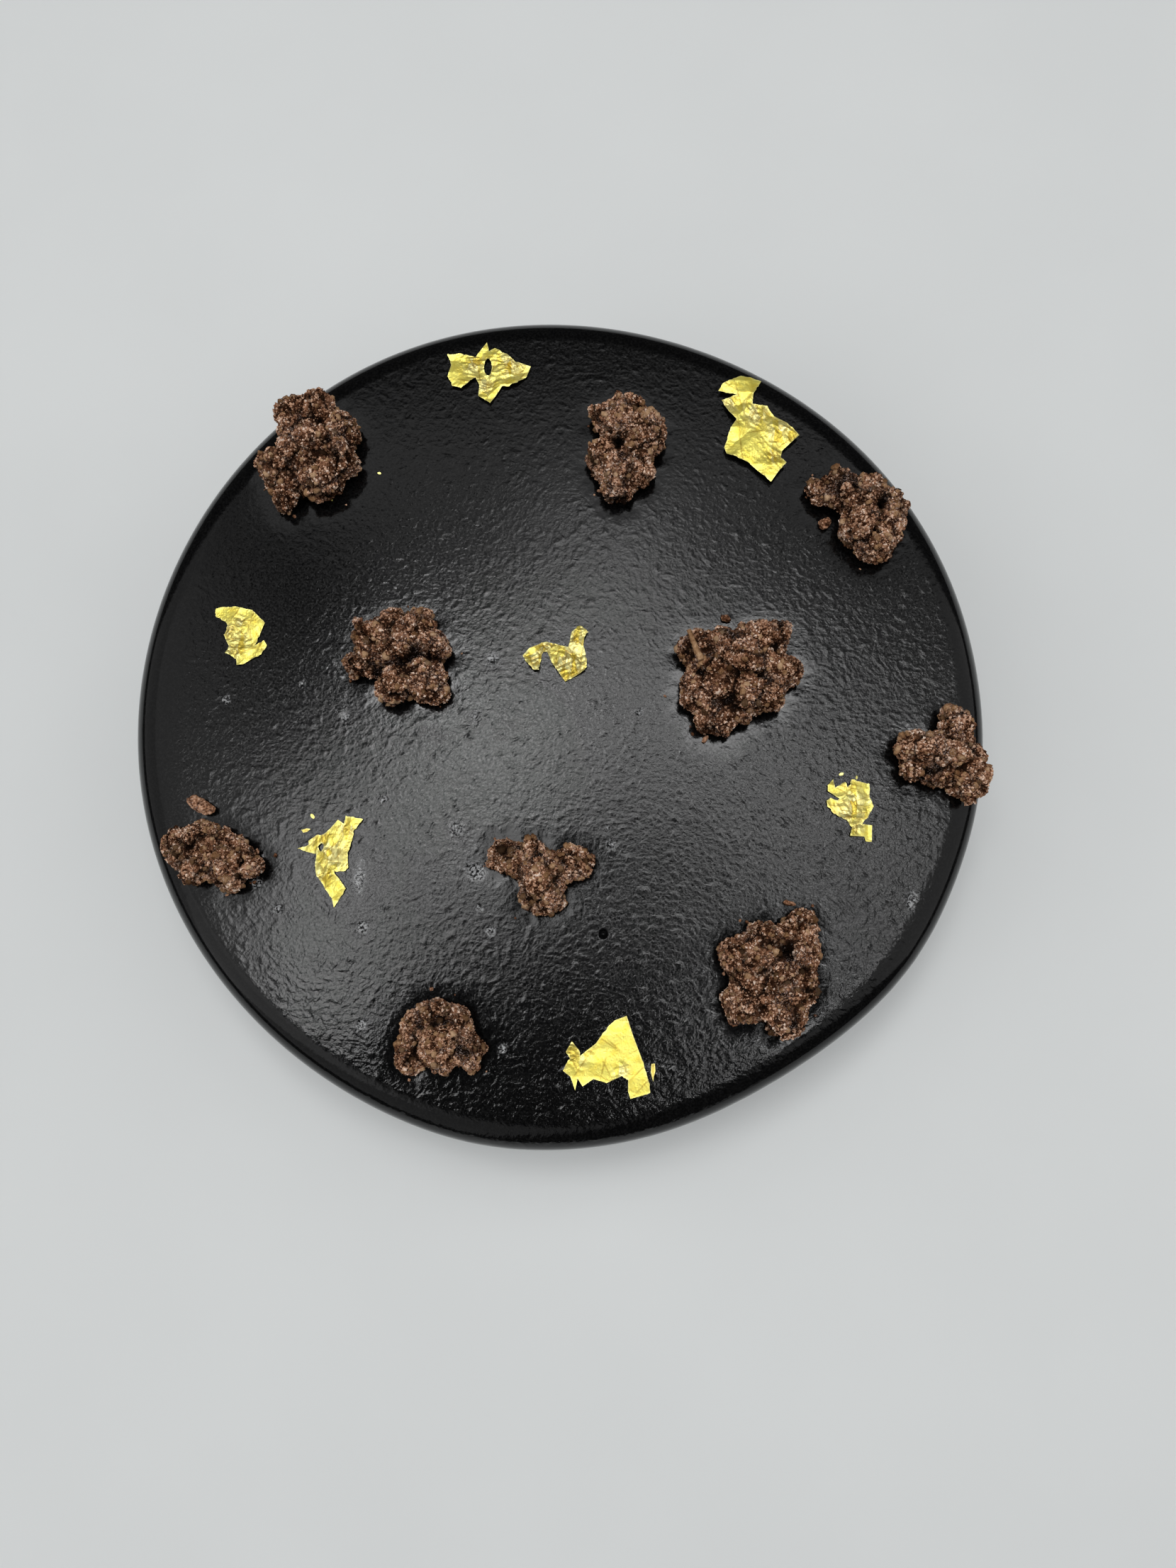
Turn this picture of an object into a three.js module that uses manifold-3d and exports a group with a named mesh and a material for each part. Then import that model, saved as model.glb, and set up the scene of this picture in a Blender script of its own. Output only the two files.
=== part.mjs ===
// An uncut round entremet cake: one body under a satin black glaze, with craggy
// cocoa crumble clumps, a few loose crumbs and torn gold leaf lying on its top.
// Millimetres, +Z up. The origin is the middle of the flat base.
import * as THREE from "three";
import { mergeVertices } from "three/addons/utils/BufferGeometryUtils.js";
import Module from "manifold-3d";

const wasm = await Module();
wasm.setup();

// Driving dimensions
const CAKE = {
  radius: 91.8,
  height: 48,
  shoulderRadius: 6,
  baseRounding: 1.5,
  sideBulge: 0.6,
  segments: 72,
  shoulderSteps: 6,
  sideSteps: 4,
  baseSteps: 2,
};

// Places where the poured side stands out or is pressed in: bearing and spread in
// degrees from +X, counterclockwise, and the change of radius there.
const SIDE_SWELLS = [
  { bearing: 65, spread: 22, size: -1.4 },
  { bearing: 124, spread: 20, size: 0.7 },
  { bearing: 228, spread: 18, size: -0.6 },
  { bearing: 261, spread: 9, size: 0.6 },
  { bearing: 300, spread: 11, size: -1.3 },
  { bearing: 326, spread: 8, size: 0.8 },
  { bearing: 349, spread: 10, size: 0.7 },
];

const REST_GAP = 0.3;

// Crumble: each clump is a few lobes baked together. A lobe is x and y from the
// clump's middle, then its half width and half depth. crown is the clump's height.
const CLUMPS = [
  {
    at: [-54.5, 56],
    crown: 12,
    lobes: [
      [0, 2, 7.5, 6.5], [-4.5, 9.5, 4, 4], [1.5, 9, 4, 4.5], [7, 5.5, 3.7, 3.7],
      [6.5, -2, 4, 4], [2.5, -6.5, 4.8, 4.5], [-6.5, -4, 4, 4.7], [-5.5, -10.5, 2.8, 3.5],
    ],
  },
  {
    at: [15, 57.5],
    crown: 10,
    lobes: [
      [-4, 7, 4.2, 3.8], [1, 8.7, 3.2, 3.4], [4.2, 2.8, 4.5, 4.7], [-4.8, -3, 3.8, 5],
      [1.5, -4.5, 4.5, 4.5], [-1.5, -8, 4.3, 4.4], [-1.5, 2, 3.6, 4.2],
    ],
  },
  {
    at: [65, 42],
    crown: 10,
    lobes: [
      [-8, 5.5, 2.8, 3.6], [-3.5, 5.8, 4, 4.3], [2, 3.5, 5, 5.5], [7, 2, 3.6, 4],
      [5, -3.5, 4.5, 4], [0.5, -3, 4.5, 4.2], [3.5, -7.2, 4, 3.3],
    ],
  },
  {
    at: [-33.5, 10],
    crown: 11,
    lobes: [
      [1, 3, 7, 6], [-6.5, 4.5, 3.3, 2.8], [-1.5, 7, 4.2, 3.3], [4.5, 6.5, 3.6, 3.8],
      [8, 1.5, 3.2, 3.4], [-7.5, -1.5, 3.5, 3], [0, -6.5, 4, 4], [7, -6, 4, 4.3],
    ],
  },
  {
    at: [39.5, 6],
    crown: 12,
    lobes: [
      [0, 1, 8, 7], [-9, 6, 4.2, 4.5], [-3, 7, 4, 3.5], [2.5, 8.5, 3.5, 3.8],
      [7, 8.5, 3.6, 3.8], [9.5, 1.5, 3.6, 3.4], [-8.5, -3, 4.4, 5.2], [5, -4, 4.3, 3.6],
      [-5.5, -9, 4.2, 4], [-0.5, -6.5, 3.6, 3.4],
    ],
  },
  {
    at: [81.5, -10],
    crown: 11,
    lobes: [
      [0.5, -0.5, 5.5, 5], [-6, 1, 3.8, 3.8], [-7, -3.5, 2.5, 2.2], [3, 6, 3.3, 3.8],
      [5.5, -1, 3, 3], [5, -6, 4.3, 4], [-2.5, -5, 2.5, 2.6],
    ],
  },
  {
    at: [-71, -33],
    crown: 9,
    lobes: [
      [-6.5, 1.8, 4.2, 4.4], [-1.5, 3.2, 4.5, 3.9], [-3.2, -1.8, 3.5, 3.6], [3.2, 0.8, 4.2, 4],
      [7, -1.5, 3.6, 3.5], [4, -4, 3.2, 3.2],
    ],
  },
  {
    at: [-2.5, -36.5],
    crown: 9,
    lobes: [
      [0, 1.5, 5.5, 4], [-6.8, 4, 4.3, 3.8], [-0.8, 5.3, 2.8, 2.8], [7, 2.7, 4, 3.7],
      [1, -3.8, 4.8, 4.2],
    ],
  },
  {
    at: [44.5, -55.5],
    crown: 11,
    lobes: [
      [0, -3, 6, 6], [-6, 3, 4, 4.2], [-1, 7, 4.2, 3.6], [6.5, 9.5, 3.5, 3],
      [8, 3.8, 2.5, 4.2], [6.5, -3.5, 3.6, 4], [-5.5, -6.5, 3.7, 4.7], [3.5, -8.8, 4.8, 4],
      [3.6, 4.4, 3.8, 4.4],
    ],
  },
  {
    at: [-22, -69],
    crown: 9,
    lobes: [
      [0, 0, 5, 4.3], [-6, -3.7, 3.6, 3.8], [-4.8, 1.7, 3, 3.5], [-1, 4.5, 3.4, 3.4],
      [3.5, 3, 3.4, 3.6], [5.8, -2.5, 3.6, 3.8], [1, -4, 3.3, 3.2],
    ],
  },
];
const LOBE = {
  edgeDrop: 0.34, // share of the crown that the outermost lobes lose
  bellyLevel: 0.3, // where a lobe is widest, as a share of its height
  roughness: 0.17, // how far its corners stand out or in, as a share of its size
  uneven: 0.1, // how far its height strays, as a share of its height
  plainBelow: 3.2, // half width under which a lobe has few faces
};

// Larger grains baked onto the lobes, at levels that are shares of the lobe's rise
const GRAINS = {
  count: 3, smallest: 1, largest: 1.7, sink: 0.35, lowest: 0.3, highest: 0.9,
};

// Loose crumbs: place, length, width, height and turn in degrees.
const CRUMBS = [
  { at: [-74.4, -22], length: 6.4, width: 3.2, height: 2.6, turn: -26 },
  { at: [58.2, 41], length: 2.8, width: 2.4, height: 2, turn: 40 },
  { at: [36.6, 19.6], length: 2.4, width: 1.6, height: 1.5, turn: -30 },
  { at: [49.2, -41.4], length: 2.6, width: 1.3, height: 1.2, turn: -10 },
];

// Gold leaf: torn outlines, counterclockwise round their place. lift is how far the
// creases and loose corners rise off the glaze.
const LEAF = { thickness: 0.3, cell: 2.8, holeSteps: 5 };
const CREASES = { count: 3, shortest: 5, longest: 9 };
const LEAVES = [
  {
    at: [-16, 76.5],
    lift: 1.2,
    outline: [
      [-9.5, 4.5], [-8.5, 2], [-9.2, -1], [-8, -3.2], [-6, -3.7], [-3, -1], [-2, -3],
      [-2.2, -5.5], [0.5, -7.3], [2, -5], [3, -3.4], [4.6, -3.4], [8.5, -1], [9.4, 1.5],
      [6, 2.5], [4, 4.5], [1.3, 6], [0, 5.3], [-0.6, 7.4], [-1.5, 6], [-3, 3.8], [-6.3, 4.6],
    ],
    hole: { at: [-0.2, 1.3], width: 1.8, depth: 4.2 },
  },
  {
    at: [44, 63],
    lift: 1.4,
    outline: [
      [-8.7, 8.7], [-4.7, 7.8], [-8, 6.6], [-6.5, 4], [-4.8, 2], [-6, 0], [-7.5, -4.4],
      [-7, -6], [-2.4, -8], [-0.7, -9.6], [2.6, -12.6], [4.2, -10.4], [6, -8.2], [4.8, -7],
      [5.2, -5.2], [9, -1.7], [6.4, 1], [3.6, 2.7], [2, 5], [-1.3, 5.6], [-1, 8], [1, 11.7],
      [-3.7, 12.4], [-7.7, 10.3],
    ],
  },
  {
    at: [-68.5, 15.5],
    lift: 0.9,
    outline: [
      [-5.8, 6], [-5.6, 4.2], [-3.5, 3], [-2.8, 2], [-3.7, 0], [-2.4, -2.5], [-3, -4],
      [-0.6, -5.4], [-0.4, -6.7], [1, -6.5], [4.7, -4.2], [5.8, -2.2], [5.2, -1.1], [3.3, -2.2],
      [5.2, 2.8], [2.2, 5.7], [-1.8, 6.5],
    ],
  },
  {
    at: [0, 11.5],
    lift: 3.2,
    outline: [
      [-7, -0.2], [-6.4, -1.4], [-4.7, -3.5], [-3.5, -3.8], [-3.1, -1.2], [-2.6, 0.6], [-1.8, 0.7],
      [-0.9, -1.4], [0.8, -4.1], [2.2, -6], [5.1, -4.4], [6.8, -2.9], [6.6, 0], [6, 2],
      [6.1, 3.7], [7.2, 4.9], [5.2, 6.4], [3.5, 4.7], [2.8, 1.6], [-1.6, 2.6], [-3, 2.4],
      [-5.4, 1.4],
    ],
  },
  {
    at: [62, -22],
    lift: 1.6,
    outline: [
      [-4.5, 5.4], [-4.4, 4.2], [-1.9, 2.7], [-2.4, 2], [-3.8, 2.8], [-4.7, 2.2], [-4.6, 1],
      [-3.2, -0.7], [-1.6, -1.3], [-0.6, -1.8], [0.5, -3.3], [0, -5.2], [3, -5.3], [3.3, -6.3],
      [4.5, -6.3], [4.7, -2.9], [2.6, -2.6], [3.6, -1.4], [5.1, 1], [4.3, 3], [4.4, 5.7],
      [0.8, 6.7], [-0.2, 4.9], [-0.7, 6.2], [-2.9, 4.9], [-3.2, 6.7],
    ],
  },
  {
    at: [-46.5, -33.5],
    lift: 1.5,
    outline: [
      [2.9, 9.6], [2.6, 8], [1.2, 8.7], [-1.5, 5.6], [-3.2, 5.4], [-4.8, 4.2], [-4.7, 3.4],
      [-7, 2.4], [-4.2, 1.8], [-3, 1.4], [-3.2, -0.4], [-2.7, -3], [-1.5, -4.6], [0.8, -8],
      [1.2, -9.6], [3.6, -5.7], [0.9, -2.1], [3.2, -2], [3.8, -1.2], [3.6, 1.5], [4.6, 5.1],
      [4.6, 6.4], [6.6, 8.9],
    ],
    hole: { at: [-2, 2.9], width: 1, depth: 1.8 },
  },
  {
    at: [12, -72.5],
    lift: 0.9,
    outline: [
      [3.8, 8], [1.5, 7.1], [0, 5.9], [-2.3, 2.5], [-5.5, 0], [-5.7, 0.9], [-7.3, 2.8],
      [-8.5, 0.7], [-7.7, -0.5], [-9, -3.1], [-7.5, -4.2], [-6.5, -6.9], [-6, -4.6], [-5, -6.1],
      [-2.8, -4.6], [-0.2, -5.4], [2.9, -4], [4.2, -4.7], [4.2, -7], [4.7, -8.4], [8.6, -7.3],
      [8.5, -5.3], [7.1, -0.9], [5.3, 3.7],
    ],
  },
];
const FLAKES = [
  {
    at: [21.3, -75.6],
    lift: 0.2,
    outline: [
      [-0.4, 1.6], [-0.5, 0], [-0.1, -2], [0.4, 0.2], [0.3, 1.7],
    ],
  },
  {
    at: [-52, -27],
    lift: 0.2,
    outline: [
      [-1, 0.1], [-0.6, -0.5], [0.3, -0.3], [0.9, 0.3], [0.2, 0.4],
    ],
  },
];

const SEEDS = { crumble: 101, crumb: 301, leaf: 501, flake: 508 };

// Finish of each material
const FINISHES = {
  glaze: { color: 0x1b1c1e, roughness: 0.42, metalness: 0 },
  crumble: { color: 0x6e4d38, roughness: 0.9, metalness: 0 },
  gold: { color: 0xe8d878, roughness: 0.35, metalness: 1 },
};

// Seeded random draws between 0 and 1, so that every build is the same
function seededDraws(seed) {
  let state = seed >>> 0;
  return () => {
    state = (Math.imul(state, 1664525) + 1013904223) >>> 0;
    return state / 4294967296;
  };
}

// A geometry with only shared positions, as one closed surface
function weld(geometry) {
  geometry.deleteAttribute("normal");
  geometry.deleteAttribute("uv");
  return mergeVertices(geometry, 1e-4);
}

function toSolid(geometry) {
  return new wasm.Manifold(
    new wasm.Mesh({
      numProp: 3,
      vertProperties: new Float32Array(geometry.attributes.position.array),
      triVerts: new Uint32Array(geometry.index.array),
    }),
  );
}

function toGeometry(solid) {
  const mesh = solid.getMesh();
  const geometry = new THREE.BufferGeometry();
  geometry.setAttribute("position", new THREE.BufferAttribute(mesh.vertProperties, 3));
  geometry.setIndex(new THREE.BufferAttribute(mesh.triVerts, 1));
  geometry.computeVertexNormals();
  return geometry;
}

function moveVertices(geometry, move) {
  const position = geometry.attributes.position;
  const point = new THREE.Vector3();
  for (let i = 0; i < position.count; i++) {
    point.fromBufferAttribute(position, i);
    move(point);
    position.setXYZ(i, point.x, point.y, point.z);
  }
  return geometry;
}

// The cake's body

function sideSwell(bearing) {
  return SIDE_SWELLS.reduce((sum, swell) => {
    const turn = THREE.MathUtils.euclideanModulo(bearing - swell.bearing + 180, 360) - 180;
    return sum + swell.size * Math.exp(-0.5 * (turn / swell.spread) ** 2);
  }, 0);
}

function arcPoints(centreX, centreY, radius, from, to, steps) {
  return Array.from({ length: steps + 1 }, (_, i) => {
    const angle = THREE.MathUtils.degToRad(THREE.MathUtils.lerp(from, to, i / steps));
    return new THREE.Vector2(
      centreX + radius * Math.cos(angle),
      centreY + radius * Math.sin(angle),
    );
  });
}

// Half section from the base's middle to the top's middle; grow offsets it outward.
function cakeProfile(grow) {
  const radius = CAKE.radius + grow;
  const top = CAKE.height + grow;
  const shoulder = CAKE.shoulderRadius + grow;
  const base = CAKE.baseRounding;
  const lowest = -grow;
  const sideBottom = lowest + base;
  const sideTop = top - shoulder;
  const side = Array.from({ length: CAKE.sideSteps - 1 }, (_, i) => {
    const share = (i + 1) / CAKE.sideSteps;
    const bulge = CAKE.sideBulge * Math.sin(Math.PI * share);
    return new THREE.Vector2(radius + bulge, THREE.MathUtils.lerp(sideBottom, sideTop, share));
  });
  return [
    new THREE.Vector2(0, lowest),
    ...arcPoints(radius - base, sideBottom, base, -90, 0, CAKE.baseSteps),
    ...side,
    ...arcPoints(radius - shoulder, sideTop, shoulder, 0, 90, CAKE.shoulderSteps),
    new THREE.Vector2(0, top),
  ];
}

function cakeGeometry(grow) {
  const geometry = weld(new THREE.LatheGeometry(cakeProfile(grow), CAKE.segments));
  geometry.rotateX(Math.PI / 2);
  return moveVertices(geometry, (point) => {
    const reach = Math.hypot(point.x, point.y);
    if (reach === 0) return;
    const bearing = THREE.MathUtils.radToDeg(Math.atan2(point.y, point.x));
    const scale = 1 + sideSwell(bearing) / CAKE.radius;
    point.x *= scale;
    point.y *= scale;
  });
}

// Height of the glaze under a point on the cake's top
function topLevel(x, y) {
  const bearing = THREE.MathUtils.radToDeg(Math.atan2(y, x));
  const shoulderStart = CAKE.radius + sideSwell(bearing) - CAKE.shoulderRadius;
  const past = Math.max(0, Math.hypot(x, y) - shoulderStart);
  const across = Math.min(past, CAKE.shoulderRadius);
  return CAKE.height - CAKE.shoulderRadius + Math.sqrt(CAKE.shoulderRadius ** 2 - across ** 2);
}

// Crumble

// A rough pebble of the given half sizes round its middle
function pebble(middle, halfSizes, turn, detail, draw) {
  const geometry = weld(new THREE.IcosahedronGeometry(1, detail));
  moveVertices(geometry, (point) => {
    const stand = 1 + LOBE.roughness * (2 * draw() - 1);
    point.multiply(halfSizes).multiplyScalar(stand);
  });
  geometry.rotateZ(turn);
  geometry.translate(middle.x, middle.y, middle.z);
  return geometry;
}

// Each lobe as the middle and half sizes of a pebble that stands on the glaze
function clumpLobes(clump, draw) {
  const reach = Math.max(...clump.lobes.map(([x, y]) => Math.hypot(x, y)));
  return clump.lobes.map(([x, y, halfWidth, halfDepth]) => {
    const away = Math.hypot(x, y) / reach;
    const stray = 1 + LOBE.uneven * (2 * draw() - 1);
    const height = clump.crown * (1 - LOBE.edgeDrop * away * away) * stray;
    const middle = new THREE.Vector3(clump.at[0] + x, clump.at[1] + y, 0);
    middle.z = topLevel(middle.x, middle.y) + height * LOBE.bellyLevel;
    const halfSizes = new THREE.Vector3(halfWidth, halfDepth, height * (1 - LOBE.bellyLevel));
    return { middle, halfSizes };
  });
}

// A grain half sunk in a lobe's upper side
function grainOn({ middle, halfSizes }, draw) {
  const bearing = 2 * Math.PI * draw();
  const rise = THREE.MathUtils.lerp(GRAINS.lowest, GRAINS.highest, draw());
  const size = THREE.MathUtils.lerp(GRAINS.smallest, GRAINS.largest, draw());
  const spread = Math.sqrt(1 - rise * rise);
  const seat = new THREE.Vector3(spread * Math.cos(bearing), spread * Math.sin(bearing), rise);
  seat.multiply(halfSizes).add(middle);
  seat.z -= size * GRAINS.sink;
  return pebble(seat, new THREE.Vector3(size, size, size), bearing, 0, draw);
}

function clumpSolid(clump, draw) {
  const lobes = clumpLobes(clump, draw);
  const pieces = lobes.map(({ middle, halfSizes }) => {
    const detail = halfSizes.x < LOBE.plainBelow ? 0 : 1;
    return pebble(middle, halfSizes, 0, detail, draw);
  });
  for (let i = 0; i < GRAINS.count; i++) {
    pieces.push(grainOn(lobes[i], draw));
  }
  return pieces.map(toSolid).reduce((joined, piece) => joined.add(piece));
}

function crumbGeometry(crumb, draw) {
  const middle = new THREE.Vector3(crumb.at[0], crumb.at[1], 0);
  const halfSizes = new THREE.Vector3(crumb.length, crumb.width, crumb.height).divideScalar(2);
  const rise = (1 + LOBE.roughness) * halfSizes.z + REST_GAP;
  middle.z = topLevel(middle.x, middle.y) + rise;
  return pebble(middle, halfSizes, THREE.MathUtils.degToRad(crumb.turn), 1, draw);
}

// Gold leaf

// Closed sheet from a surface: the same triangles above and, turned over, below.
function thicken(surface, thickness) {
  const upper = surface.attributes.position;
  const triangles = [...surface.index.array];
  const count = upper.count;
  const points = new Float32Array(count * 6);
  for (let i = 0; i < count; i++) {
    const [x, y, z] = [upper.getX(i), upper.getY(i), upper.getZ(i)];
    points.set([x, y, z + thickness], i * 3);
    points.set([x, y, z], (count + i) * 3);
  }
  const edges = new Map();
  for (let i = 0; i < triangles.length; i += 3) {
    for (let k = 0; k < 3; k++) {
      const from = triangles[i + k];
      const to = triangles[i + ((k + 1) % 3)];
      if (!edges.delete(`${to},${from}`)) edges.set(`${from},${to}`, [from, to]);
    }
  }
  const closed = [...triangles];
  for (let i = 0; i < triangles.length; i += 3) {
    closed.push(triangles[i] + count, triangles[i + 2] + count, triangles[i + 1] + count);
  }
  edges.forEach(([from, to]) => {
    closed.push(from + count, to + count, to, from + count, to, from);
  });
  const geometry = new THREE.BufferGeometry();
  geometry.setAttribute("position", new THREE.BufferAttribute(points, 3));
  geometry.setIndex(closed);
  return geometry;
}

// Upright prism of the torn outline, tall enough to cut the whole sheet
function outlinePrism(leaf) {
  const shape = new THREE.Shape(leaf.outline.map(([x, y]) => new THREE.Vector2(x, y)));
  if (leaf.hole) {
    const { at, width, depth } = leaf.hole;
    const hole = new THREE.Path();
    hole.absellipse(at[0], at[1], width / 2, depth / 2, 0, 2 * Math.PI, true);
    shape.holes.push(hole);
  }
  const tall = 2 * CAKE.height;
  const options = { depth: tall, bevelEnabled: false, curveSegments: LEAF.holeSteps };
  return weld(new THREE.ExtrudeGeometry(shape, options));
}

// Height of the creased sheet over the glaze, from 0 to about lift
function creaseHeights(lift, draw) {
  const creases = Array.from({ length: CREASES.count }, () => {
    const bearing = Math.PI * draw();
    const pitch = Math.PI / THREE.MathUtils.lerp(CREASES.shortest, CREASES.longest, draw());
    const start = Math.PI * draw();
    return { x: pitch * Math.cos(bearing), y: pitch * Math.sin(bearing), start };
  });
  return (x, y) => {
    const rises = creases.map((crease) =>
      Math.abs(Math.sin(crease.x * x + crease.y * y + crease.start)),
    );
    return (lift * rises.reduce((sum, rise) => sum + rise, 0)) / creases.length;
  };
}

// One torn piece round its own place, with the glaze's height in it
function leafSolid(leaf, draw) {
  const across = leaf.outline.map(([x]) => Math.abs(x));
  const along = leaf.outline.map(([, y]) => Math.abs(y));
  const width = 2 * Math.max(...across) + LEAF.cell;
  const depth = 2 * Math.max(...along) + LEAF.cell;
  const cells = [width, depth].map((size) => Math.max(2, Math.round(size / LEAF.cell)));
  const sheet = weld(new THREE.PlaneGeometry(width, depth, ...cells));
  const crease = creaseHeights(leaf.lift, draw);
  moveVertices(sheet, (point) => {
    const level = topLevel(leaf.at[0] + point.x, leaf.at[1] + point.y);
    point.z = level + REST_GAP + crease(point.x, point.y);
  });
  return toSolid(thicken(sheet, LEAF.thickness)).intersect(toSolid(outlinePrism(leaf)));
}

// Assembly

const cake = new THREE.Group();

function addNode(name, geometry, finish) {
  const mesh = new THREE.Mesh(geometry, new THREE.MeshStandardMaterial(FINISHES[finish]));
  mesh.name = name;
  cake.add(mesh);
  return mesh;
}

const numbered = (stem, index) => `${stem}_${String(index + 1).padStart(2, "0")}`;

addNode("glazed_cake", cakeGeometry(0), "glaze");

const clearance = toSolid(cakeGeometry(REST_GAP));
CLUMPS.forEach((clump, index) => {
  const draw = seededDraws(SEEDS.crumble + index);
  const solid = clumpSolid(clump, draw).subtract(clearance);
  addNode(numbered("crumble", index), toGeometry(solid), "crumble");
});

CRUMBS.forEach((crumb, index) => {
  const draw = seededDraws(SEEDS.crumb + index);
  addNode(numbered("crumb", index), crumbGeometry(crumb, draw), "crumble");
});

function addLeaves(leaves, stem, seed) {
  leaves.forEach((leaf, index) => {
    const solid = leafSolid(leaf, seededDraws(seed + index));
    const mesh = addNode(numbered(stem, index), toGeometry(solid), "gold");
    mesh.position.set(leaf.at[0], leaf.at[1], 0);
  });
}

addLeaves(LEAVES, "gold_leaf", SEEDS.leaf);
addLeaves(FLAKES, "gold_flake", SEEDS.flake);

export default cake;
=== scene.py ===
import math

import bmesh
import bpy
import numpy as np
from mathutils import Euler, Matrix, Vector, kdtree, noise


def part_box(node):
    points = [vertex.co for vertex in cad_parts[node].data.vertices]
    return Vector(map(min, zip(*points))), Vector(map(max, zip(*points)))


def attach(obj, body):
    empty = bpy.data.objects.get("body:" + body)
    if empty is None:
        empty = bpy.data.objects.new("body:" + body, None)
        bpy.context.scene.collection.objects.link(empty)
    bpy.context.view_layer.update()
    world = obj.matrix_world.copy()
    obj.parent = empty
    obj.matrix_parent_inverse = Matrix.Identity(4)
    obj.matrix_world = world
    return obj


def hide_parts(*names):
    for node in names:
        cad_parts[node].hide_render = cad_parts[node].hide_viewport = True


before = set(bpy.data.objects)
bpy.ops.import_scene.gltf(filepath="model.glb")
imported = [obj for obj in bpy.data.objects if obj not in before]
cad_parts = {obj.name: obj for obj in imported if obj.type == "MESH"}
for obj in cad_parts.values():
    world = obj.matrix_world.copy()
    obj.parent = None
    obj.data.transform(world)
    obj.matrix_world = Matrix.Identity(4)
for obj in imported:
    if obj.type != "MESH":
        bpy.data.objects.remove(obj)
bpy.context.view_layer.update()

mm = 0.001  # sizes below are in millimetres, and meshes in metres
weld = 0.002  # points of a solid that are nearer than this become one
seeds = {"clump": 10, "crumb": 40, "leaf": 70, "strays": 90, "specks": 5, "stick": 61}
scene = bpy.context.scene
scene.view_settings.view_transform = "Standard"
crumbleNodes = sorted(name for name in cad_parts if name.startswith("crumble"))
crumbNodes = sorted(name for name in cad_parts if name.startswith("crumb_"))
leafNodes = sorted(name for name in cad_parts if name.startswith("gold"))


# camera, lights and floor

view = {
    "place": (13.46, -54.91, 284.4),
    "turn": (9.219, 1.369, 0.678),  # degrees
    "focalPixels": 1600,
    "imageWidth": 1659,
    "sensor": 36,
    "clipStart": 0.01,
}

studio = {
    # soft boxes overhead, in metres: middle, size and radiance
    "overheadHeight": 1.45,
    "overhead": [
        ((-0.20, 0.29), (0.20, 0.22), 12.8),
        ((-0.20, 0.09), (0.20, 0.20), 4.3),
        ((-0.40, 0.02), (0.20, 0.36), 7.3),
        ((0.00, 0.41), (0.20, 0.40), 5.5),
        ((0.20, 0.30), (0.20, 0.20), 8.7),
        ((0.40, 0.10), (0.20, 0.20), 10.4),
        ((0.40, -0.10), (0.20, 0.20), 1.8),
        ((0.20, 0.12), (0.20, 0.16), 1.2),
        ((0.31, -0.26), (0.26, 0.20), 6.6),
        ((0.0, 0.70), (1.1, 0.20), 0.9),
        ((-0.72, 0.06), (0.4, 0.9), 0.2),
    ],
    # upright soft boxes round the cake: bearing from +Y, elevation and radiance
    "around": [(-95, 42, 0.46), (92, 42, 0.60), (-140, 42, 0.38)],
    "aroundDistance": 1.5,
    "aroundSize": (1.6, 1.6),
    "ambient": 0.045,
    "floorSize": 6.0,
    "floorTone": (0.90, 0.925, 0.925),
}


def addCamera():
    data = bpy.data.cameras.new("camera")
    data.sensor_fit = "HORIZONTAL"
    data.sensor_width = view["sensor"]
    data.lens = view["sensor"] * view["focalPixels"] / view["imageWidth"]
    data.clip_start = view["clipStart"]
    camera = bpy.data.objects.new("camera", data)
    camera.location = Vector(view["place"]) * mm
    camera.rotation_euler = Euler([math.radians(angle) for angle in view["turn"]])
    scene.collection.objects.link(camera)
    scene.camera = camera


def addPanel(name, place, size, radiance, aim):
    data = bpy.data.lights.new(name, "AREA")
    data.shape = "RECTANGLE"
    data.size, data.size_y = size
    data.energy = radiance * math.pi * size[0] * size[1]
    lamp = bpy.data.objects.new(name, data)
    lamp.location = place
    lamp.rotation_euler = (Vector(aim) - Vector(place)).to_track_quat("-Z", "Y").to_euler()
    scene.collection.objects.link(lamp)


def addLights():
    for index, (middle, size, radiance) in enumerate(studio["overhead"]):
        addPanel(f"overhead{index}", (*middle, studio["overheadHeight"]), size, radiance, (*middle, 0))
    for index, (bearing, elevation, radiance) in enumerate(studio["around"]):
        turn, rise = math.radians(bearing), math.radians(elevation)
        away = Vector((math.sin(turn) * math.cos(rise), math.cos(turn) * math.cos(rise), math.sin(rise)))
        place = away * studio["aroundDistance"]
        addPanel(f"around{index}", place, studio["aroundSize"], radiance, (0, 0, 0))
    world = bpy.data.worlds.new("ambient")
    world.use_nodes = True
    world.node_tree.nodes["Background"].inputs["Strength"].default_value = studio["ambient"]
    world.node_tree.nodes["Background"].inputs["Color"].default_value = (1, 1, 1, 1)
    scene.world = world


# material helpers

def newMaterial(name):
    material = bpy.data.materials.new(name)
    material.use_nodes = True
    return material, material.node_tree.nodes["Principled BSDF"]


def addNode(material, kind, inputs=None, **settings):
    node = material.node_tree.nodes.new("ShaderNode" + kind)
    for name, value in settings.items():
        setattr(node, name, value)
    for name, value in (inputs or {}).items():
        plug(material, value, node.inputs[name])
    return node


def plug(material, value, socket):
    if isinstance(value, bpy.types.NodeSocket):
        material.node_tree.links.new(value, socket)
    else:
        socket.default_value = value


def objectPlace(material, scale=(1, 1, 1), turn=0):
    place = addNode(material, "TexCoord").outputs["Object"]
    inputs = {"Vector": place, "Scale": scale, "Rotation": (0, 0, math.radians(turn))}
    return addNode(material, "Mapping", inputs).outputs["Vector"]


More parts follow.
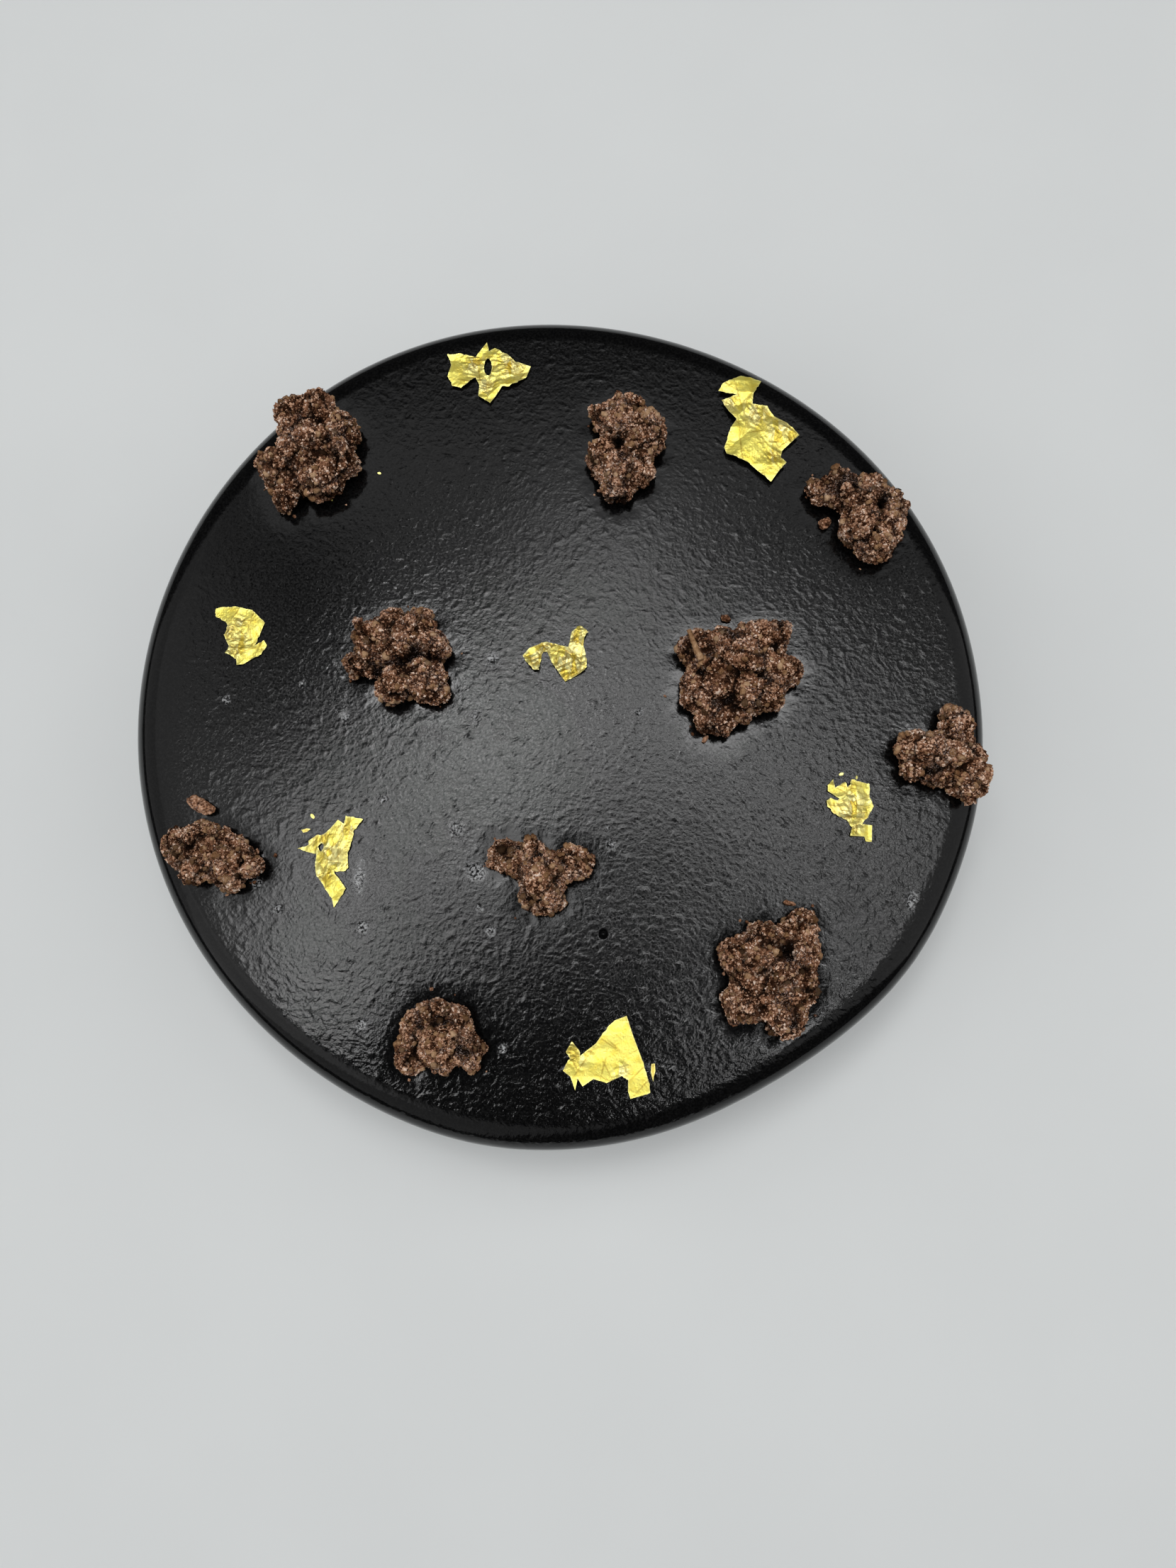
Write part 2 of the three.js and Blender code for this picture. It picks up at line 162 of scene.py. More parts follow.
def noiseAt(material, place, size, detail=2, roughness=0.5, kind="FBM"):
    inputs = {"Vector": place, "Scale": 1 / (size * mm), "Detail": detail, "Roughness": roughness}
    return addNode(material, "TexNoise", inputs, noise_type=kind).outputs["Fac"]


def wander(material, place, size, reach):
    # the place, pushed about by up to half of reach
    inputs = {"Vector": place, "Scale": 1 / (size * mm), "Detail": 1}
    push = addNode(material, "TexNoise", inputs).outputs["Color"]
    push = vector2(material, "SUBTRACT", push, (0.5, 0.5, 0.5))
    push = vector2(material, "MULTIPLY", push, (reach * mm, reach * mm, reach * mm))
    return vector2(material, "ADD", place, push)


def vector2(material, operation, first, second):
    return addNode(material, "VectorMath", {0: first, 1: second}, operation=operation).outputs["Vector"]


def ramp(material, value, stops):
    node = addNode(material, "ValToRGB", {"Fac": value})
    elements = node.color_ramp.elements
    while len(elements) < len(stops):
        elements.new(0.5)
    for element, (at, tone) in zip(elements, stops):
        element.position = at
        element.color = (*tone, 1)
    return node.outputs["Color"]


def rangeOf(material, value, low, high, toLow=0.0, toHigh=1.0):
    inputs = {"Value": value, "From Min": low, "From Max": high, "To Min": toLow, "To Max": toHigh}
    return addNode(material, "MapRange", inputs).outputs["Result"]


def math2(material, operation, first, second):
    return addNode(material, "Math", {0: first, 1: second}, operation=operation).outputs["Value"]


def blendTones(material, share, first, second):
    inputs = {0: share, 6: first, 7: second}  # the sockets that a colour mix uses
    return addNode(material, "Mix", inputs, data_type="RGBA").outputs[2]


def bump(material, height, distance):
    inputs = {"Height": height, "Distance": distance * mm, "Strength": 1}
    return addNode(material, "Bump", inputs).outputs["Normal"]


def attribute(material, name):
    return addNode(material, "Attribute", attribute_name=name).outputs["Fac"]


# mesh helpers

def nodeCopy(nodeName):
    shape = bmesh.new()
    shape.from_mesh(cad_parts[nodeName].data)
    bmesh.ops.remove_doubles(shape, verts=shape.verts, dist=weld * mm)
    return shape


def newPiece(name, mesh, material, nodeNames=()):
    mesh.materials.clear()
    mesh.materials.append(material)
    piece = bpy.data.objects.new(name, mesh)
    scene.collection.objects.link(piece)
    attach(piece, "root")
    if nodeNames:
        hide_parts(*nodeNames)
    return piece


def toMesh(shape, name):
    mesh = bpy.data.meshes.new(name)
    shape.to_mesh(mesh)
    shape.free()
    return mesh


def meshPoints(mesh, field="co"):
    values = np.empty(len(mesh.vertices) * 3)
    mesh.vertices.foreach_get(field, values)
    return values.reshape(-1, 3)


def setPoints(mesh, points):
    mesh.vertices.foreach_set("co", np.asarray(points, np.float32).ravel())
    mesh.update()


def setValues(mesh, **layers):
    # one value for each point, or one for all
    for name, values in layers.items():
        spread = np.empty(len(mesh.vertices), np.float32)
        spread[:] = values
        mesh.attributes.new(name, "FLOAT", "POINT").data.foreach_set("value", spread)


def smoothShade(mesh, count=None):
    # the first count faces are smooth, and any others stay flat
    total = len(mesh.polygons)
    smooth = total if count is None else count
    mesh.polygons.foreach_set("use_smooth", np.arange(total) < smooth)
    mesh.update()


def noiseField(points, size, seed, octaves=1):
    shift = Vector((seed * 7.13, seed * 3.71, seed * 5.19))
    if octaves == 1:
        return np.array([noise.noise(Vector(p) / size + shift, noise_basis="PERLIN_NEW") for p in points])
    return np.array([noise.fractal(Vector(p) / size + shift, 0.6, 2, octaves, noise_basis="PERLIN_NEW")
                     for p in points])


def lumpRise(points, lumps, seed):
    (large, largeSize), (small, smallSize) = lumps
    return large * noiseField(points, largeSize, seed) + small * noiseField(points, smallSize, seed + 1)


def treeOf(places):
    tree = kdtree.KDTree(len(places))
    for index, place in enumerate(places):
        tree.insert(place, index)
    tree.balance()
    return tree


def bell(value, width):
    return np.exp(-(value / width) ** 2)


def fade(value, start, end):
    return np.clip((value - start) / (end - start), 0, 1)


# glaze

glaze = {
    "cells": 246,  # cells across the flat top
    "shoulderRadius": 6.0,
    "shoulderSteps": 9,
    "sideSteps": 8,
    "sideBulge": 0.6,
    "baseRounding": 1.5,
    "baseSteps": 3,
    "swell": 0.05,  # broad unevenness of the poured top
    "swellSize": 32,
    "fold": 0.008,  # leathery folds, the larger ones
    "foldSize": 4.6,
    "foldDrift": (1.6, 7),  # how far and how widely they are pushed about
    "streak": 0.032,  # ripples that run out to the front and right rim
    "streakSize": (1.9, 9.0),  # across and along
    "streakBearing": -58,
    "streakSpread": 52,
    "streakReach": (50, 74),  # they fade in between
    "streakRadius": 80,  # where they have their stated width
    "step": 0.16,  # the folded skin ends in a step inside the right shoulder
    "stepInset": 5.7,
    "stepWidth": 0.8,
    "stepStray": ((1.1, 8), (0.5, 1.6)),  # how far and how widely its line strays
    "stepFlecks": (0.09, 1.1, 0.9),  # height, size and reach of the flecks along it
    "stepBearings": (-56, 8),
    "stepEnds": (16, 12),  # it fades in and out over these bearings
    "spotRagged": 0.7,  # size of the bubbles' uneven rims
    "dimple": 0.06,  # how far a clump presses in
    "dimpleReach": 2.0,
    "footHeight": 5,  # a clump's foot reaches this far up
    "halo": 3.2,  # smooth ring round a clump
    "smoothRim": 0.9,  # width over which the folds die out at the shoulder
    "foldsFrom": 4.7,  # inset where they begin
    "roughFront": -95,  # round this bearing the folds run on over the shoulder
    "roughSpread": 48,
    "smoothLeft": 5.0,  # on the left they die out over this much more
    "leftSpread": 45,
    # where the wrinkles are stronger or weaker, and over which stretch that sets in
    "strongFront": 1.2,
    "strongSpread": 55,
    "strongReach": (42, 78),
    "weakFront": 0.7,
    "weakSpread": 35,
    "weakReach": (45, 72),
    "weakBack": 0.5,
    "backFrom": (8, 56),
    "weakLeft": 0.4,
    "leftFrom": (-28, -54),
    "weakMiddle": 0.12,
    "middle": (-16, -13, 26),
    "black": (0.0012, 0.0012, 0.0014),
    "specular": 0.315,
    "roughness": (0.10, 0.28),
    "roughSize": 0.5,
    "sleek": 0.6,  # share of the roughness that is left where there are no folds
    "sleekFront": 0.5,  # and in front, between these two distances from the middle
    "sleekReach": (44, 74),
    "leather": 0.082,  # fine even wrinkles, creases and grain, as heights
    "leatherSize": 1.9,
    "crease": 0.042,
    "creaseSize": (1.0, 3.2),  # across and along
    "creaseTurns": (35, 95, -40),  # degrees
    "patch": 6.0,  # the creases keep one direction over about this far
    "grain": 0.02,
    "grainSize": 0.6,
    "bloom": 0.008,  # tone of the pale fine specks
    "bloomSize": 0.45,
    "fleckTone": (0.38, 0.385, 0.39, 1),  # dried rims of the burst bubbles
    "fleckSize": 0.5,
}

# burst bubbles and pits in the glaze: x, y, radius and depth, and for the long ones length share and turn
glazeSpots = [
    (10.9, -47.9, 0.95, 1.6), (-13.5, 10.5, 1.1, 0.12), (-17.1, -1.9, 0.7, 0.10),
    (18.1, -0.9, 0.8, 0.12), (-20.2, -26.5, 1.3, 0.14), (-15.9, -35.4, 1.8, 0.16),
    (-39.1, -47.0, 1.1, 0.14), (-12.5, -47.6, 0.9, 0.14), (-14.8, -42.9, 0.7, 0.10),
    (12.2, -29.2, 0.9, 0.22), (11.7, -25.9, 0.45, 0.20), (-44.9, -2.4, 0.8, 0.12),
    (-35.8, -20.1, 0.7, 0.12), (-54.4, 4.7, 0.6, 0.16), (-70.7, 1.2, 0.8, 0.20),
    (-57.0, -43.5, 0.8, 0.22), (-61.8, -38.1, 0.9, 0.12), (-38.5, -66.8, 0.9, 0.12),
    (-9.4, -71.3, 0.8, 0.22), (-40.3, -36.8, 1.15, 0.05, 2.6, 92),
    (74.6, -40.2, 0.9, 0.25, 2.0, 78),
]


def cadSide():
    points = np.array([v.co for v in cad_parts["glazed_cake"].data.vertices]) / mm
    reach = np.hypot(points[:, 0], points[:, 1])
    bearing = np.round(np.degrees(np.arctan2(points[:, 1], points[:, 0])) % 360, 1)
    shoulderLevel = points[:, 2].max() - glaze["shoulderRadius"]
    level = np.abs(points[:, 2] - shoulderLevel) < 0.01
    order = np.argsort(bearing[level])
    return bearing[level][order], reach[level][order], points[:, 2].max()


def glazeProfile(top):
    # outset from the side and level, from the shoulder down to the base
    shoulder, base = glaze["shoulderRadius"], glaze["baseRounding"]
    profile = []
    for step in range(1, glaze["shoulderSteps"] + 1):
        angle = math.pi / 2 * (1 - step / glaze["shoulderSteps"])
        profile.append((shoulder * (math.cos(angle) - 1), top - shoulder * (1 - math.sin(angle))))
    for step in range(1, glaze["sideSteps"] + 1):
        share = step / glaze["sideSteps"]
        bulge = glaze["sideBulge"] * math.sin(math.pi * share)
        profile.append((bulge, (top - shoulder) * (1 - share) + base * share))
    for step in range(1, glaze["baseSteps"] + 1):
        angle = math.pi / 2 * step / glaze["baseSteps"]
        profile.append((base * (math.cos(angle) - 1), base * (1 - math.sin(angle))))
    return profile


def glazeShape(radiusAt, top):
    shape = bmesh.new()
    bmesh.ops.create_grid(shape, x_segments=glaze["cells"], y_segments=glaze["cells"], size=1)
    for vert in shape.verts:  # the square grid becomes a disc
        x, y, _ = vert.co
        reach = max(abs(x), abs(y))
        if abs(x) >= abs(y):
            turn = math.pi / 4 * (y / x) if x else 0.0
            bearing = turn if x > 0 else turn + math.pi
        else:
            turn = math.pi / 2 - math.pi / 4 * (x / y)
            bearing = turn if y > 0 else turn + math.pi
        flat = radiusAt(math.degrees(bearing)) - glaze["shoulderRadius"]
        vert.co = (reach * flat * math.cos(bearing), reach * flat * math.sin(bearing), top)
    refineSpots(shape)
    rim = [edge for edge in shape.edges if edge.is_boundary]
    for outset, level in glazeProfile(top):
        grown = bmesh.ops.extrude_edge_only(shape, edges=rim)["geom"]
        for vert in grown:
            if isinstance(vert, bmesh.types.BMVert):
                bearing = math.atan2(vert.co.y, vert.co.x)
                reach = radiusAt(math.degrees(bearing)) + outset
                vert.co = (reach * math.cos(bearing), reach * math.sin(bearing), level)
        rim = [edge for edge in grown if isinstance(edge, bmesh.types.BMEdge) and edge.is_boundary]
    bmesh.ops.holes_fill(shape, edges=rim, sides=0)
    bmesh.ops.recalc_face_normals(shape, faces=shape.faces)
    return shape


def spotDistance(x, y, spot):
    # 1 on the border of the spot
    spotX, spotY, radius = spot[:3]
    length, turn = spot[4:] if len(spot) > 4 else (1, 0)
    turn = math.radians(turn)
    along = (x - spotX) * math.cos(turn) + (y - spotY) * math.sin(turn)
    across = (y - spotY) * math.cos(turn) - (x - spotX) * math.sin(turn)
    return np.hypot(along / length, across) / radius


def refineSpots(shape):
    edges = list(shape.edges)
    middles = np.array([(edge.verts[0].co + edge.verts[1].co).xy / 2 for edge in edges])
    near = np.zeros(len(edges), bool)
    for spot in glazeSpots:
        near |= spotDistance(middles[:, 0], middles[:, 1], spot) < 1.4 + 0.35 / spot[2]
    chosen = [edges[index] for index in np.flatnonzero(near)]
    bmesh.ops.subdivide_edges(shape, edges=chosen, cuts=2, use_grid_fill=True)


def clumpGaps(points):
    # distance from each point to the foot of the nearest clump
    feet = []
    for name in crumbleNodes:
        low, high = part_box(name)
        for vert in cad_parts[name].data.vertices:
            if vert.co.z < low.z + glaze["footHeight"] * mm:
                feet.append((vert.co.x / mm, vert.co.y / mm, 0))
    tree = treeOf(feet)
    return np.array([tree.find((p[0], p[1], 0))[2] for p in points])


def strongness(x, y, reach, bearing):
    front = bell(bearing - glaze["streakBearing"], glaze["strongSpread"])
    strong = 1 + glaze["strongFront"] * front * fade(reach, *glaze["strongReach"])
    strong = strong - glaze["weakBack"] * fade(y, *glaze["backFrom"])
    strong = strong - glaze["weakLeft"] * fade(x, *glaze["leftFrom"])
    middleX, middleY, middleReach = glaze["middle"]
    strong = strong - glaze["weakMiddle"] * bell(np.hypot(x - middleX, y - middleY), middleReach)
    near = bell(bearing - glaze["roughFront"], glaze["weakSpread"])
    return strong - glaze["weakFront"] * near * fade(reach, *glaze["weakReach"])


def glazeRelief(points, radiusAt, top, gaps):
    x, y, z = points.T
    flat = np.stack([x, y, np.zeros_like(x)], 1)
    reach, bearing = np.hypot(x, y), np.degrees(np.arctan2(y, x))
    inset = radiusAt(bearing) - reach
    onTop = fade(z, top - 3, top)
    front = bell(bearing - glaze["roughFront"], glaze["roughSpread"])
    left = bell(180 - np.abs(bearing), glaze["leftSpread"])
    start = glaze["foldsFrom"] * (1 - front) + front + left * 0.4 * glaze["smoothLeft"]
    end = start + glaze["smoothRim"] + glaze["smoothLeft"] * left
    calm = (1 - bell(gaps, glaze["halo"])) * fade(inset, start, end)
    strong = strongness(x, y, reach, bearing)
    drift, driftSize = glaze["foldDrift"]
    push = [noiseField(flat, driftSize, 21), noiseField(flat, driftSize, 22), np.zeros_like(x)]
    pushed = flat + drift * np.stack(push, 1)
    folds = 1 - 2 * np.abs(noiseField(pushed * (0.75, 1, 1), glaze["foldSize"], 2, octaves=2))
    rise = glaze["swell"] * noiseField(flat, glaze["swellSize"], 1) + glaze["fold"] * folds * calm
    across, along = glaze["streakSize"]
    around = np.radians(bearing) * glaze["streakRadius"]
    ripples = np.stack([around / across, reach / along, np.zeros_like(x)], 1)
    toFront = bell(bearing - glaze["streakBearing"], glaze["streakSpread"])
    toFront = toFront * fade(reach, *glaze["streakReach"])
    rise = rise + glaze["streak"] * noiseField(ripples, 1, 4, octaves=2) * toFront * calm
    rise = rise - glaze["dimple"] * bell(gaps, glaze["dimpleReach"])
    rise = rise - rimStep(flat, bearing, inset)
    spots = np.zeros_like(x)
    ragged = noiseField(flat, glaze["spotRagged"], 3)
    for spot in glazeSpots:
        away = spotDistance(x, y, spot)
        if spot[3] > 1:  # a deep pit with steep clean walls
            rise = rise - spot[3] * np.clip(1 - away, 0, 1) ** 0.7
            calm = calm * fade(away, 0.9, 1.3)
            continue
        away = away * (1 + 0.55 * ragged)
        rise = rise - spot[3] * np.clip(1 - away ** 3, 0, 1) * (1 + 1.4 * ragged)
        spots = np.maximum(spots, fade(away, 1.4, 0.6))
    return rise * onTop, calm * strong * fade(z, top - 5, top - 2), spots * onTop


def rimStep(flat, bearing, inset):
    low, high = glaze["stepBearings"]
    fadeIn, fadeOut = glaze["stepEnds"]
    span = fade(bearing, low, low + fadeIn) * fade(bearing, high, high - fadeOut)
    path = inset - glaze["stepInset"] + lumpRise(flat, glaze["stepStray"], 5)
    height, size, reach = glaze["stepFlecks"]
    flecks = height * noiseField(flat, size, 7) * bell(path, reach)
    half = glaze["stepWidth"] / 2
    return span * (glaze["step"] * fade(path, half, -half) + flecks)


def makeGlaze(material):
    sideBearing, sideReach, top = cadSide()

    def radiusAt(bearing):
        return np.interp(bearing % 360, sideBearing, sideReach, period=360)

    mesh = toMesh(glazeShape(radiusAt, top), "glaze")
    points = meshPoints(mesh)
    rise, calm, spots = glazeRelief(points, radiusAt, top, clumpGaps(points))
    points[:, 2] += rise
    setPoints(mesh, points * mm)
    setValues(mesh, leather=calm, spot=spots)
    smoothShade(mesh)
    newPiece("glazedCake", mesh, material, ["glazed_cake"])
    print("glaze:", len(mesh.polygons), "faces")


def glazeMaterial():
    material, shader = newMaterial("satinGlaze")
    plain = objectPlace(material)
    grain = noiseAt(material, plain, glaze["grainSize"], 2, 0.6)
    height = math2(material, "MULTIPLY", grain, glaze["grain"] * 2)
    leather = noiseAt(material, wander(material, plain, 4, 1.5), glaze["leatherSize"], 2, 0.5,
                      kind="RIDGED_MULTIFRACTAL")
    height = math2(material, "ADD", height, math2(material, "MULTIPLY", leather, glaze["leather"]))
    across, along = glaze["creaseSize"]
    for index, turn in enumerate(glaze["creaseTurns"]):
        pushed = wander(material, objectPlace(material, turn=turn), 5, 2.0)
        stretched = vector2(material, "MULTIPLY", pushed, (1, across / along, 1))
        folds = noiseAt(material, stretched, across, 2, 0.6, kind="RIDGED_MULTIFRACTAL")
        shifted = vector2(material, "ADD", plain, (0, 0, 20 * index * mm))
        here = rangeOf(material, noiseAt(material, shifted, glaze["patch"], 2), 0.42, 0.62, 0.35, 1)
        folds = math2(material, "MULTIPLY", math2(material, "MULTIPLY", folds, here), glaze["crease"])
        height = math2(material, "ADD", height, folds)
    strength = rangeOf(material, attribute(material, "leather"), 0, 3, 0.12, 3)
    height = math2(material, "MULTIPLY", height, strength)
    plug(material, bump(material, height, 1.0), shader.inputs["Normal"])
    low, high = glaze["roughness"]
    dull = noiseAt(material, plain, glaze["roughSize"], 2, 0.6)
    dull = rangeOf(material, dull, 0.35, 0.65, low, high)
    sleek = rangeOf(material, attribute(material, "leather"), 0, 1, glaze["sleek"], 1)
    near, far = glaze["sleekReach"]
    forward = addNode(material, "SeparateXYZ", {"Vector": plain}).outputs["Y"]
    shiny = rangeOf(material, forward, -far * mm, -near * mm, glaze["sleekFront"], 1)
    dull = math2(material, "MULTIPLY", math2(material, "MULTIPLY", dull, sleek), shiny)
    plug(material, dull, shader.inputs["Roughness"])
    flecks = rangeOf(material, noiseAt(material, plain, glaze["fleckSize"], 2, 0.6), 0.46, 0.58)
    flecks = math2(material, "MULTIPLY", flecks, attribute(material, "spot"))
    bloom = rangeOf(material, noiseAt(material, plain, glaze["bloomSize"], 3, 0.7), 0.45, 0.68)
    tone = blendTones(material, bloom, (*glaze["black"], 1), (*[glaze["bloom"]] * 3, 1))
    tone = blendTones(material, flecks, tone, glaze["fleckTone"])
    plug(material, tone, shader.inputs["Base Color"])
    shader.inputs["Specular IOR Level"].default_value = glaze["specular"]
    return material


# crumble

crumble = {
    "voxel": 0.4,
    "close": 1.1,  # gaps up to twice this wide in the solid are crumbled full
    "closeVoxel": 0.6,
    "crumbVoxel": 0.18,
    "crumbRise": ((0.3, 1.2), (0.16, 0.5)),  # heights and sizes of a loose crumb's lumps
    "crumbTone": (0.4, 0.5, 0.5),  # middle, swing and size
    "nodules": 85,  # baked lumps stuck together in one clump
    "noduleSize": (0.7, 2.0),
    "noduleSink": 0.62,
    "cleft": 0.9,  # depth of the splits
    "cleftSize": 6.0,
    "cleftWidth": 0.10,
    "lump": 0.5,
    "lumpSize": 4.2,
    "crag": 0.45,
    "cragSize": 1.5,
    "fine": 0.25,
    "fineSize": 0.75,
    "cave": 3.4,
    "caveSize": 3.6,
    "caveFrom": 0.34,
    "grains": 7000,  # fine grains on one clump
    "grainSize": (0.15, 0.46),
    "tanGrains": 130,
    "tanGrainSize": (0.42, 0.85),
    "jag": 0.28,  # how uneven a fine grain is
    "sink": 0.1,
    "darker": 1.35,  # above 1 the dark grains outnumber the pale ones
    "grainTones": (0.06, 0.94),  # darkest and palest, from 0 to 1
    "tanTones": (0.3, 0.8),
    "tanJag": 0.26,
    # the core under the grains is painted dark, as shade in the gaps between them
    "coreTone": 0.12,
    "strays": 7,  # tiny crumbs lying round a clump
    "straySize": (0.16, 0.4),
    "strayReach": (0.3, 3.0),
    "footHeight": 3,  # they lie out from points up to this height
    "strayTones": (0.1, 0.65),
    "strayMargin": 8,  # none lies nearer to the rim
    "strayAt": [(32.1, -6.9, 0.75)],  # one that has a place of its own, and its radius
    "settle": 0.4,  # reaches this far below its solid, onto the glaze
    "stick": ((28.1, 14.7), (30.6, 8.1), (0.5, 0.72)),  # baked strand on the largest clump: ends and radii
    "stickRise": ((0.3, 0.9), (0.15, 0.4)),
    "stickTone": 0.55,
    # tones from dark to pale
    "browns": [(0.0, (0.035, 0.0125, 0.0055)), (0.25, (0.21, 0.094, 0.049)),
               (0.5, (0.49, 0.262, 0.157)), (0.75, (0.80, 0.505, 0.34)), (1.0, (0.96, 0.78, 0.65))],
    "tans": [(0.1, (0.15, 0.070, 0.030)), (0.5, (0.37, 0.210, 0.108)), (0.95, (0.62, 0.41, 0.25))],
    # near-black painted shade for the lowest parts of a clump
    "deepTone": (0.010, 0.005, 0.003, 1),
    "frostTone": (0.56, 0.44, 0.40, 1),  # pale bloom in patches
    "frostSize": (0.32, 5),  # of its specks and of the patches
    "patchSize": 2.4,
    "speckSize": 0.4,
    "speckBump": 0.14,
    "roughness": 0.7,
    "specular": 0.04,
}

# holes and splits pressed into the clumps, which are also painted dark as shade: x, y, reach and depth
crumbleHollows = [
    (-51.2, 60.6, 0.9, 3.0), (-49.6, 56.2, 0.9, 3.0), (-57.0, 47.2, 0.9, 3.0),
    (13.3, 57.4, 1.0, 5.0),
    (63.7, 47.1, 0.9, 3.5), (69.2, 43.4, 1.0, 4.0), (67.8, 36.8, 0.9, 3.5),
    (-38.0, 6.6, 0.8, 3.2), (-36.5, 7.3, 0.9, 3.4), (-35.0, 7.8, 0.8, 3.2), (-33.5, 8.0, 0.7, 3.0),
    (-32.0, 8.4, 0.7, 3.0), (-30.6, 9.1, 0.8, 3.2), (-29.3, 9.8, 0.8, 3.2), (-27.8, 10.1, 0.7, 3.0),
    (-26.3, 9.6, 0.7, 2.8), (-24.8, 9.5, 0.6, 2.6),
    (30.7, 6.2, 1.0, 4.0), (36.5, 0.6, 1.0, 4.0), (42.8, 5.2, 0.9, 3.5),
    (81.6, -7.7, 0.8, 3.0), (77.4, -14.0, 1.0, 3.5),
    (-73.4, -31.4, 0.9, 3.0), (-76.3, -30.1, 0.8, 2.5), (-63.6, -34.2, 0.8, 2.5),
    (47.7, -51.5, 1.15, 5.5),
    (-22.5, -66.4, 0.9, 3.5), (-25.0, -67.0, 0.7, 2.5), (-20.3, -66.3, 0.7, 2.5),
]


def addNodules(shape, count, draw):
    faces = [face for face in shape.faces if face.normal.z > -0.2]
    areas = np.array([face.calc_area() for face in faces])
    low, high = crumble["noduleSize"]
    for index in draw.choice(len(faces), count, p=areas / areas.sum()):
        face = faces[index]
        size = (low + (high - low) * draw.random() ** 1.5) * mm
        shares = draw.dirichlet((1, 1, 1))
        seat = sum((vert.co * share for vert, share in zip(face.verts, shares)), Vector())
        seat = seat - face.normal * size * crumble["noduleSink"]
        made = bmesh.ops.create_icosphere(shape, subdivisions=2, radius=size)["verts"]
        stretch = Matrix.Diagonal((*draw.uniform(0.75, 1.25, 3), 1))
        turn = Euler(draw.uniform(0, 6.28, 3)).to_matrix().to_4x4()
        bmesh.ops.transform(shape, matrix=Matrix.Translation(seat) @ turn @ stretch, verts=made)


def remeshed(shape, steps):
    # voxel sizes and, for each, how far the surface then moves out
    source = bpy.data.objects.new("clumpSource", toMesh(shape, "clumpSource"))
    scene.collection.objects.link(source)
    for voxel, outward in steps:
        remesh = source.modifiers.new("voxels", "REMESH")
        remesh.mode = "VOXEL"
        remesh.voxel_size = voxel * mm
        if outward:
            move = source.modifiers.new("outward", "DISPLACE")
            move.mid_level = 0
            move.strength = outward * mm
    ready = source.evaluated_get(bpy.context.evaluated_depsgraph_get())
    mesh = bpy.data.meshes.new_from_object(ready)
    bpy.data.objects.remove(source)
    return mesh


def clumpCore(nodeName, draw):
    reach = crumble["close"]
    voxel = crumble["closeVoxel"]
    closed = remeshed(nodeCopy(nodeName), [(voxel, reach), (voxel, -reach)])
    shape = bmesh.new()
    shape.from_mesh(closed)
    bpy.data.meshes.remove(closed)
    bmesh.ops.triangulate(shape, faces=shape.faces)
    addNodules(shape, crumble["nodules"], draw)
    return remeshed(shape, [(crumble["voxel"], 0)])


def cragHeights(points, seed):
    shift = Vector((seed, seed * 0.7, seed * 0.3))
    spans = np.array([noise.voronoi(Vector(p) / crumble["cleftSize"] + shift)[0][:2] for p in points])
    clefts = bell(spans[:, 1] - spans[:, 0], crumble["cleftWidth"])
    lumps = noiseField(points, crumble["lumpSize"], seed, octaves=2)
    crags = 0.35 - np.abs(noiseField(points, crumble["cragSize"], seed + 2, octaves=2))
    caves = np.clip(noiseField(points, crumble["caveSize"], seed + 1) - crumble["caveFrom"], 0, 1)
    rise = crumble["lump"] * lumps + crumble["crag"] * crags
    rise += crumble["fine"] * noiseField(points, crumble["fineSize"], seed + 3)
    return rise - crumble["cleft"] * clefts - crumble["cave"] * caves


def grainBase(cuts):
    # a rounded cube, or an eight-sided shard without cuts
    shape = bmesh.new()
    if cuts:
        bmesh.ops.create_cube(shape, size=1)
        bmesh.ops.subdivide_edges(shape, edges=shape.edges, cuts=cuts, use_grid_fill=True)
        for vert in shape.verts:
            vert.co.normalize()
        bmesh.ops.triangulate(shape, faces=shape.faces)
    else:
        bmesh.ops.create_uvsphere(shape, u_segments=4, v_segments=2, radius=1)
    shape.verts.index_update()
    points = np.array([vert.co for vert in shape.verts])
    faces = np.array([[vert.index for vert in face.verts] for face in shape.faces])
    shape.free()
    return points, faces


def turns(count, draw):
    quats = draw.normal(size=(count, 4))
    quats /= np.linalg.norm(quats, axis=1)[:, None]
    w, x, y, z = quats.T
    return np.stack([
        1 - 2 * (y * y + z * z), 2 * (x * y - z * w), 2 * (x * z + y * w),
        2 * (x * y + z * w), 1 - 2 * (x * x + z * z), 2 * (y * z - x * w),
        2 * (x * z - y * w), 2 * (y * z + x * w), 1 - 2 * (x * x + y * y),
    ], 1).reshape(count, 3, 3)


def scatterGrains(seats, sizes, base, jag, draw):
    basePoints, baseFaces = base
    count = len(seats)
    stretch = draw.uniform(0.7, 1.3, size=(count, 1, 3))
    uneven = draw.uniform(1 - jag, 1 + jag, size=(count, len(basePoints), 1))
    local = np.einsum("nij,nkj->nki", turns(count, draw), basePoints[None] * stretch * uneven)
    grown = local * sizes[:, None, None] + seats[:, None]
    faces = baseFaces[None] + (np.arange(count) * len(basePoints))[:, None, None]
    return grown.reshape(-1, 3), faces.reshape(-1, 3)


def joinParts(parts, name):
    # each part holds points, faces, tones, shares of tan and crag heights
    points = np.concatenate([part[0] for part in parts])
    starts = np.cumsum([0] + [len(part[0]) for part in parts])
    faces = np.concatenate([part[1] + start for part, start in zip(parts, starts)])
    mesh = bpy.data.meshes.new(name)
    mesh.from_pydata((points * mm).tolist(), [], faces.tolist())
    tone, tan, crag = (np.concatenate([part[field] for part in parts]) for field in (2, 3, 4))
    setValues(mesh, tone=tone, tan=tan, crag=crag)
    return mesh


